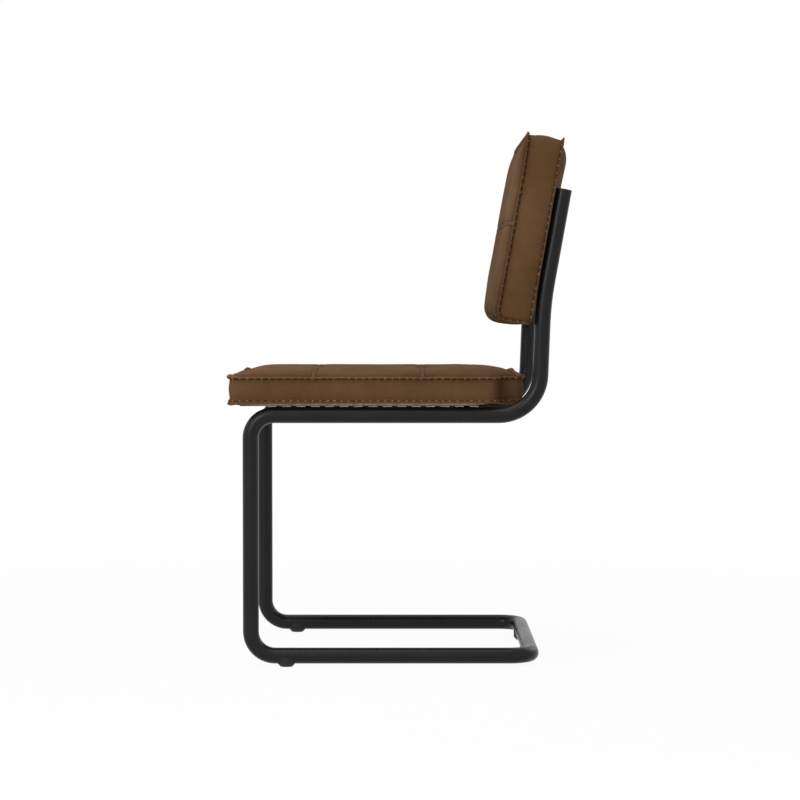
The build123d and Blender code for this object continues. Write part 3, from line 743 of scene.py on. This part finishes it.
def on_leather(cushion, spots):
    """The nearest points of a cushion's surface to some spots, and the way it faces there."""
    found = [cushion.closest_point_on_mesh(Vector(spot)) for spot in spots]
    return np.array([one[1] for one in found]), np.array([one[2] for one in found])


unsteady_hand = np.random.default_rng(7)


def sew_row(places, path, normals, offset, length, radius):
    """A row of stitches along a path on the leather, a little uneven as on the real cover."""
    wanted = np.arange(offset, places[-1], STITCH_PITCH)
    wanted = wanted + unsteady_hand.normal(0, STITCH_UNEVEN, len(wanted))
    lengths = length + unsteady_hand.normal(0, STITCH_UNEVEN, len(wanted))
    alongs = unit(taken_at(wanted, places, unit(np.gradient(path, axis=0))))
    centres = taken_at(wanted, places, path + STITCH_RISE * radius * normals)
    return rods(centres, alongs, unit(taken_at(wanted, places, normals)), lengths, radius)


def sew_border(path, out, lean, closed, flare, width, ears, growth=0.0, lift=0.0):
    """A border seam: its double lip with ears at the corners, dark rods that paint the shade of its needle
    holes, and pale knots.
    """
    places, path, (out, lean) = even_path(path, (out, lean), STITCH_PITCH / 4, closed)
    angle = math.radians(flare)
    reach = math.cos(angle) * out + math.sin(angle) * lean
    side = math.cos(angle) * lean - math.sin(angle) * out
    ear = nearness(path, ears)
    curl = flutter(places, path, LIP_FLUTTER) + lift * ear
    widths = (width(path) if callable(width) else width) * (1 + growth * ear)
    lip = sweep(path, reach, side, LIP_SECTION, widths, curl, closed)
    sewn_line = path + LIP_STITCHES * reach - half_lip * side
    # Painted shade: dark rods in the seam's root stand in for the shadowed needle holes between the pale
    # knots.
    dark = sew_row(places, sewn_line, -side, STITCH_PITCH / 2, STITCH_LENGTH, STITCH_RADIUS)
    pale = sew_row(places, sewn_line, -side, STITCH_PITCH, KNOT_LENGTH, STITCH_RADIUS)
    return lip, [dark], [pale]


def sew_welt(cushion, path, up, across):
    """A seam between two patches: a low welt with a row of stitches along each side."""
    places, path, (up, across) = even_path(path, (up, across), STITCH_PITCH / 4, False)
    heights = np.full(len(path), WELT_HEIGHT)
    welt = sweep(path, up, across, WELT_SECTION, heights, flutter(places, path, FINE_FLUTTER), False)
    rows = []
    for away in (-WELT_STITCHES, WELT_STITCHES):
        line, normals = on_leather(cushion, path + away * across)
        rows.append(sew_row(places, line, normals, STITCH_PITCH / 2, STITCH_LENGTH, WELT_STITCH_RADIUS))
    return welt, rows, []


def put(name, parts, finish):
    """Gathers several meshes to one piece of the cover."""
    points, faces, start = [], [], 0
    for some_points, some_faces in parts:
        points.append(some_points)
        faces += [[v + start for v in face] for face in some_faces]
        start += len(some_points)
    made = new_piece(name, np.vstack(points), faces, finish)
    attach(made, "root")


def low_lip_width(path):
    """The lower lip is wide at the front and narrows along the sides, where its raw inner ply shows."""
    return LOW_LIP_WIDTH + (LOW_LIP_FRONT - LOW_LIP_WIDTH) * np.exp((SEAT_FRONT - path[:, 1]) / LOW_LIP_RUN)


rise = np.array([0.0, 0.0, 1.0])
sewn = []
for k, lean, flare, width, lift in ((0, -rise, LOW_FLARE, low_lip_width, LOW_EAR_LIFT),
                                    (LAST_Z, rise, TOP_FLARE, LIP_WIDTH, TOP_EAR_LIFT)):
    path = seat_points[seat_rings[k]]
    ears = [seat_points[seat_at[i, j, k]] for i in (0, LAST_X) for j in (0, LAST_Y)]
    leans = np.tile(lean, (len(path), 1))
    sewn.append(sew_border(path, seat_out, leans, True, flare, width, ears, lift=lift))
for seam in seat_seams:
    path = seat_points[seam]
    across = unit(np.cross(rise, np.gradient(path, axis=0)))
    sewn.append(sew_welt(seat_cushion, path, np.tile(rise, (len(path), 1)), across))
lower_lip, upper_lip, *welts = [lip for lip, _, _ in sewn]
put("seat_upper_lip", [upper_lip], highlit_upper_lip_finish)
put("seat_lower_lip", [lower_lip], seat_leather)
put("seat_welts", welts, seat_leather)
put("seat_hole_shade_and_stitches", [thread for _, darks, _ in sewn for thread in darks], shade_and_thread_rods)
put("seat_pale_stitches", [thread for _, _, pales in sewn for thread in pales], pale_thread)

plies = []
low_angle = math.radians(LOW_FLARE)
for i, sign in ((0, -1.0), (LAST_X, 1.0)):
    along_side = [seat_at[i, j, 0] for j in range(PLY_START, nearest_count(seat_ys, corner_middle))]
    outs = np.tile([sign, 0.0, 0.0], (len(along_side), 1))
    places, path, (outs,) = even_path(seat_points[along_side], (outs,), STITCH_PITCH / 4, False)
    reach = math.cos(low_angle) * outs - math.sin(low_angle) * rise
    side = -math.cos(low_angle) * rise - math.sin(low_angle) * outs
    inner = path + side * (LIP_THICKNESS + RAW_PLY_THICKNESS) / 2
    taper = PLY_FRONT_TAPER * np.exp(-places / PLY_FRONT_RUN)
    taper = taper + PLY_REAR_TAPER * np.exp((places - places[-1]) / PLY_REAR_RUN)
    widths = RAW_PLY_WIDTH - taper + flutter(places, path, FINE_FLUTTER)
    plies.append(sweep(inner, reach, side, PLY_SECTION, widths, flutter(places, path, LIP_FLUTTER), False))
put("seat_raw_plies", plies, raw_edge)

# Back cushion
# A thinner foam pad on its board. Its side band runs up one side, over the top and down the other, while the
# front panel rolls under the bottom edge. The rear face swells between the tabs that carry it.

BACK_LEAN = math.radians(10.2)
BACK_BAND = 0.053
BACK_HALF = SEAT_HALF
BACK_SHOULDER = 0.062
BACK_ROLL = 0.120             # run over which the front panel fills out from the bottom seam at the rear
BACK_CROWN = 0.0125 - FILL_CAP
BACK_ROLL_RADIUS = 0.021      # at the lower front edge, and tighter at its ends
BACK_ROLL_END_RADIUS = 0.012
BACK_HEEL = 0.006             # radius of the lower rear edge
TOP_PULL = 0.0022             # how far the front seam is drawn forward at the top
TOP_PULL_RUN = 0.070
BACK_ROW = 0.152
BACK_SWELL = 0.0160 - FILL_CAP
BACK_SWELL_EDGE = 0.004
BACK_SWELL_RUN = 0.060
BACK_SWELL_TOP_RUN = 0.027
BACK_SWELL_SIDE_RUN = 0.100   # run of the swell above the tubes, where it reaches the sides
BACK_SWELL_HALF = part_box("back_tab_lower_left")[0].x   # the rear face is flat beside the tabs and tubes
BACK_FOOT_LIP = 0.0021        # the rear lip is folded short along the bottom
UPRIGHT_END = 0.209           # height on the pad from which the swell reaches its sides
UPRIGHT_EASE = 0.075
TOP_BULGE = 0.0056
SIDE_BULGE = 0.0016
BACK_FOLD_FACING = 0.3        # least that a spot with folds faces forward
BACK_FOLDS = [                # lasting folds up the back: place across, start, end and depth
    (0.205, 0.015, 0.095, 0.0006), (0.190, 0.020, 0.110, 0.0007), (0.174, 0.010, 0.085, 0.0006),
    (0.196, 0.215, 0.270, 0.0006), (0.172, 0.200, 0.255, 0.0005), (-0.195, 0.020, 0.100, 0.0006),
    (-0.176, 0.205, 0.265, 0.0006), (0.020, 0.010, 0.090, 0.0005), (-0.110, 0.015, 0.085, 0.0005)]

band_low, band_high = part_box("back_side_band")
LEAN_SIN, LEAN_COS = math.sin(BACK_LEAN), math.cos(BACK_LEAN)
BACK_HEIGHT = (band_high.z - band_low.z - (BACK_BAND + LIP_THICKNESS) * LEAN_SIN) / LEAN_COS
BACK_HEIGHT -= LIP_WIDTH + BACK_FOOT_LIP
back_up = np.array([0.0, LEAN_SIN, LEAN_COS])
back_front = np.array([0.0, -LEAN_COS, LEAN_SIN])
back_foot = np.array([0.0, band_high.y - (BACK_HEIGHT + LIP_WIDTH) * LEAN_SIN - LIP_THICKNESS / 2 * LEAN_COS,
                      band_low.z + BACK_FOOT_LIP * LEAN_COS + LIP_THICKNESS / 2 * LEAN_SIN])


def turn_up(vectors):
    """Directions drawn across, up and forward on the pad, turned into the chair."""
    across = vectors[:, :1] * np.array([1.0, 0.0, 0.0])
    return across + vectors[:, 1:2] * back_up + vectors[:, 2:] * back_front


back_leather = leather_finish("brown_back_leather", (1, 1, 0.25))
back_us = patched(BACK_HALF)
back_vs = joined(steps(0, BACK_ROW), steps(BACK_ROW, BACK_HEIGHT))
back_ws = steps(0, BACK_BAND)
LAST_U, LAST_V, LAST_W = len(back_us) - 1, len(back_vs) - 1, len(back_ws) - 1
back_at, counts, faces = lattice_shell(LAST_U, LAST_V, LAST_W)
column, row, level = counts.T
u, v, w = back_us[column], back_vs[row], back_ws[level]
u, v = round_corners(u, v, BACK_HALF, BACK_HEIGHT, 1, CORNER_RADIUS)

sides = BACK_HALF - np.abs(u)
from_end = np.clip(sides / BACK_SHOULDER, 0, 1)
radius = BACK_ROLL_END_RADIUS + (BACK_ROLL_RADIUS - BACK_ROLL_END_RADIUS) * from_end
roll_v = radius - v
roll_w = w - (BACK_BAND - radius)
rolled, shrink = draw_in(roll_v, roll_w)
v = np.where(rolled, radius - roll_v * shrink, v)
w = np.where(rolled, BACK_BAND - radius + roll_w * shrink, w)
heel_v, heel_w = BACK_HEEL - v, BACK_HEEL - w
heeled, shrink = draw_in(heel_v, heel_w)
v = np.where(heeled, BACK_HEEL - heel_v * shrink, v)
w = np.where(heeled, BACK_HEEL - heel_w * shrink, w)
facing_v = -np.clip(radius - v, 0, None)
facing_w = np.clip(w - (BACK_BAND - radius), 0, None)
facing = unit(np.stack([np.zeros(len(u)), facing_v, facing_w], axis=1))
turned = np.arctan2(facing_w, np.maximum(-facing_v, 1e-9))
run_under = np.minimum(w, BACK_BAND - radius)
run_up = np.where(facing_w > 0, radius * turned + np.clip(v - radius, 0, None), 0)
w = w + TOP_PULL * (w / BACK_BAND) * np.clip(1 - (BACK_HEIGHT - v) / TOP_PULL_RUN, 0, 1) ** 2
from_top = BACK_HEIGHT - v
fullness = soft_least([crown_share(sides, BACK_SHOULDER, BACK_CROWN),
                       crown_share(from_top, BACK_SHOULDER, BACK_CROWN),
                       arc_share(run_under + run_up, BACK_ROLL, BACK_CROWN)])
past_tubes = np.clip((v - UPRIGHT_END) / UPRIGHT_EASE, 0, 1)
past_tubes = past_tubes ** 2 * (3 - 2 * past_tubes)
swell_half = BACK_SWELL_HALF + (BACK_HALF - BACK_SWELL_HALF) * past_tubes
side_run = BACK_SWELL_RUN + (BACK_SWELL_SIDE_RUN - BACK_SWELL_RUN) * past_tubes
swell = soft_least([arc_share(swell_half - np.abs(u), side_run, BACK_SWELL),
                    arc_share(from_top - BACK_SWELL_EDGE, BACK_SWELL_TOP_RUN, BACK_SWELL),
                    arc_share(v - BACK_SWELL_EDGE, BACK_SWELL_RUN, BACK_SWELL)])
on_front = (level == LAST_W) | (row == 0)
on_rear = (level == 0) & (row > 0)
dip = seam_dip(u, v, [BACK_ROW])
back_points = np.stack([u, v, w], axis=1)
back_points += facing * np.where(on_front, BACK_CROWN * fullness - dip, 0)[:, None]
back_points[:, 2] -= np.where(on_rear, BACK_SWELL * swell - dip * np.clip(2 * swell, 0, 1), 0)
belly = np.sin(math.pi * np.clip(w / BACK_BAND, 0, 1))
on_band = (level > 0) & (level < LAST_W)
on_side = ((column == 0) | (column == LAST_U)) & on_band & (row > 0) & (row < LAST_V)
back_points[:, 0] += np.where(on_side, np.sign(u) * SIDE_BULGE * belly, 0)
cap_bulge = TOP_BULGE * belly * arc_share(sides, BACK_SHOULDER, TOP_BULGE)
back_points[:, 1] += np.where((row == LAST_V) & on_band, cap_bulge, 0)

right = [(0, 0, k) for k in range(LAST_W)] + [(0, j, LAST_W) for j in range(LAST_V)]
over = [(i, LAST_V, LAST_W) for i in range(LAST_U)]
left = [(LAST_U, j, LAST_W) for j in range(LAST_V, 0, -1)] + [(LAST_U, 0, k) for k in range(LAST_W, -1, -1)]
front_seam = [back_at[place] for place in right + over + left]
rear_seam = level_ring(back_at, 0, LAST_U, LAST_V)
seam_columns = [nearest_count(back_us, x) for x in (-COLUMN_SEAM, COLUMN_SEAM)]
seam_row = nearest_count(back_vs, BACK_ROW)
back_seams = [[back_at[i, 0, k] for k in range(LAST_W)] + [back_at[i, j, LAST_W] for j in range(LAST_V + 1)]
              for i in seam_columns]
back_seams.append([back_at[i, seam_row, LAST_W] for i in range(LAST_U + 1)])
rear_seams = [[back_at[i, j, 0] for j in range(LAST_V + 1)] for i in seam_columns]
rear_seams.append([back_at[i, seam_row, 0] for i in range(LAST_U + 1)])
back_world = back_foot + turn_up(back_points)
back_cushion = new_piece("back_cushion", back_world, faces, back_leather)
crease_edges(back_cushion.data, [(front_seam, BORDER_CREASE), (closed_up(rear_seam), BORDER_CREASE)]
             + [(seam, PATCH_CREASE) for seam in back_seams + rear_seams])
flat_rear = np.flatnonzero((level == 0) & (np.abs(u) > swell_half))
fill_out(back_cushion, set(flat_rear).union(front_seam, rear_seam, *back_seams, *rear_seams))
subdivide(back_cushion)
points, normals = of_vertices(back_cushion.data, "co"), of_vertices(back_cushion.data, "normal")
folds = fold_depth(points[:, 0], (points - back_foot) @ back_up, BACK_FOLDS)
folds = folds * (normals @ back_front > BACK_FOLD_FACING)
settle(back_cushion, [back_world[front_seam], back_world[rear_seam]],
       [back_world[seam] for seam in back_seams + rear_seams], folds, back_front)
wear_cover(back_cushion, "back_foam", "back_wadding", "back_side_band",
           *named("back_front_patch", "back_rear_patch"))

# Back seams
# The same double lips and stitches as on the seat. In front they run up both sides and over the top,
# and behind they run all round. The lips stand out in small pointed ears at the upper corners.

BACK_FLARE = 10.0             # degrees that the lips lean from the band
REAR_FLARE = 12.0
BACK_EAR_GROWTH = -0.25       # share by which the front lip widens at its ears
BACK_EAR_LIFT = 0.002
SHORT_LIP_HEIGHT = 0.002      # height up to which the rear lip is short


def back_lip_width(path):
    """The rear lip is as wide as the others, but short where it is folded under the bottom."""
    above = np.clip(((path - back_foot) @ back_up - SHORT_LIP_HEIGHT) / EAR_RUN, 0, 1)
    return BACK_FOOT_LIP + (LIP_WIDTH - BACK_FOOT_LIP) * above


ring_out = outward(np.stack([u[rear_seam], v[rear_seam], 0 * u[rear_seam]], axis=1))
out_at = dict(zip(rear_seam, ring_out))
front_out = []
for i, j, _ in right + over + left:
    if j == 0:
        front_out.append((-1.0 if i == 0 else 1.0, 0.0, 0.0))
    else:
        front_out.append(out_at[back_at[i, j, 0]])
behind = np.tile([0.0, 0.0, -1.0], (len(rear_seam), 1))
sewn = []
for seam, out, lean, closed, flare, width, w_count, growth, lift in (
        (front_seam, np.array(front_out), facing[front_seam], False, BACK_FLARE, LIP_WIDTH, LAST_W,
         BACK_EAR_GROWTH, BACK_EAR_LIFT),
        (rear_seam, ring_out, behind, True, REAR_FLARE, back_lip_width, 0, 0.0, 0.0)):
    ears = [back_world[back_at[i, LAST_V, w_count]] for i in (0, LAST_U)]
    path = back_world[seam]
    sewn.append(sew_border(path, turn_up(out), turn_up(lean), closed, flare, width, ears, growth, lift))
for seam in back_seams + rear_seams:
    path = back_world[seam]
    up = np.tile(-back_front, (len(seam), 1)) if seam in rear_seams else turn_up(facing[seam])
    sewn.append(sew_welt(back_cushion, path, up, unit(np.cross(up, np.gradient(path, axis=0)))))
put("back_seam_lips", [lip for lip, _, _ in sewn], back_leather)
put("back_hole_shade_and_stitches", [thread for _, darks, _ in sewn for thread in darks], shade_and_thread_rods)
put("back_pale_stitches", [thread for _, _, pales in sewn for thread in pales], pale_thread)

# Floor, light and camera
# A plain pale floor that fades to white away from the chair, soft light from all round with large lamps
# overhead, beside and behind, and a long lens that looks at the chair's left side from above its seat.

FLOOR_REACH = 30.0
FLOOR_WHITE_NEAR = 0.95       # share of plain white in the floor beside the chair, where shadow shows
FADE_START, FADE_END = 0.9, 2.2
CAMERA_DISTANCE = 4.102
CAMERA_HEIGHT = 0.568
CAMERA_BEHIND_LEG = 0.250723  # from the front of the legs to the line of sight
CAMERA_TILT = 87.9            # degrees from looking straight down
FOCAL_LENGTH = 110.1          # millimetres, on a sensor 36 wide
AMBIENT = 0.55                # strength of the light from all round

floor_data = bpy.data.meshes.new("floor")
floor_corners = [(FLOOR_REACH * x, FLOOR_REACH * y, 0) for x, y in ((-1, -1), (1, -1), (1, 1), (-1, 1))]
floor_data.from_pydata(floor_corners, [], [[0, 1, 2, 3]])
floor = bpy.data.objects.new("floor", floor_data)
scene.collection.objects.link(floor)
pale_floor, shader = finish_of("pale_floor", 0.9, specular=0.1)
shader.inputs["Base Color"].default_value = (0.8, 0.8, 0.8, 1)


def maths(tree, operation, *values):
    """The result of a sum on values or sockets."""
    node = tree.nodes.new("ShaderNodeMath")
    node.operation = operation
    for socket, value in zip(node.inputs, values):
        if isinstance(value, float):
            socket.default_value = value
        else:
            tree.links.new(value, socket)
    return node.outputs[0]


def seen_or_mirrored(tree):
    """One for a ray from the camera, also by way of a mirror or glass, and else nothing."""
    path = tree.nodes.new("ShaderNodeLightPath")
    seen = maths(tree, "MAXIMUM", path.outputs["Is Camera Ray"], path.outputs["Is Glossy Ray"])
    return maths(tree, "MAXIMUM", seen, path.outputs["Is Transmission Ray"])


def mix_shaders(tree, share, first, second):
    mix = tree.nodes.new("ShaderNodeMixShader")
    tree.links.new(share, mix.inputs["Fac"])
    tree.links.new(first, mix.inputs[1])
    tree.links.new(second, mix.inputs[2])
    return mix.outputs["Shader"]


tree = pale_floor.node_tree
place = tree.nodes.new("ShaderNodeTexCoord")
distance = tree.nodes.new("ShaderNodeVectorMath")
distance.operation = "LENGTH"
tree.links.new(place.outputs["Object"], distance.inputs[0])
fade = ranged(tree, distance.outputs["Value"], FADE_START, FADE_END, FLOOR_WHITE_NEAR, 1.0)
white = tree.nodes.new("ShaderNodeEmission")
whiteness = maths(tree, "MULTIPLY", seen_or_mirrored(tree), fade)
surface = mix_shaders(tree, whiteness, shader.outputs["BSDF"], white.outputs["Emission"])
tree.links.new(surface, tree.nodes["Material Output"].inputs["Surface"])
floor_data.materials.append(pale_floor)

world = bpy.data.worlds.new("studio")
scene.world = world
world.use_nodes = True
tree = world.node_tree
tree.nodes.clear()
ambient = tree.nodes.new("ShaderNodeBackground")
ambient.inputs["Strength"].default_value = AMBIENT
white = tree.nodes.new("ShaderNodeBackground")
white.inputs["Color"].default_value = (1, 1, 1, 1)
seen = seen_or_mirrored(tree)
surface = mix_shaders(tree, seen, ambient.outputs["Background"], white.outputs["Background"])
sky = tree.nodes.new("ShaderNodeOutputWorld")
tree.links.new(surface, sky.inputs["Surface"])


def soft_lamp(name, place, aim, size, power):
    """A large square lamp that looks at a point of the chair."""
    lamp = bpy.data.lights.new(name, "AREA")
    lamp.size = size
    lamp.energy = power
    made = bpy.data.objects.new(name, lamp)
    made.location = place
    made.rotation_euler = (Vector(aim) - Vector(place)).to_track_quat("-Z", "Y").to_euler()
    scene.collection.objects.link(made)


seat_middle = (0, 0, 0.5)
soft_lamp("overhead_lamp", (0.4, -0.4, 2.8), seat_middle, 2.2, 33)
soft_lamp("side_lamp", (2.6, -1.6, 1.6), seat_middle, 1.6, 36)
soft_lamp("rear_lamp", (-1.8, 2.2, 1.8), seat_middle, 1.6, 16)

camera_data = bpy.data.cameras.new("camera")
camera_data.lens = FOCAL_LENGTH
camera = bpy.data.objects.new("camera", camera_data)
camera.location = (CAMERA_DISTANCE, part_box("side_tube_left")[0].y + CAMERA_BEHIND_LEG, CAMERA_HEIGHT)
camera.rotation_euler = (math.radians(CAMERA_TILT), 0, math.radians(90))
scene.collection.objects.link(camera)
scene.camera = camera
scene.view_settings.view_transform = "Standard"
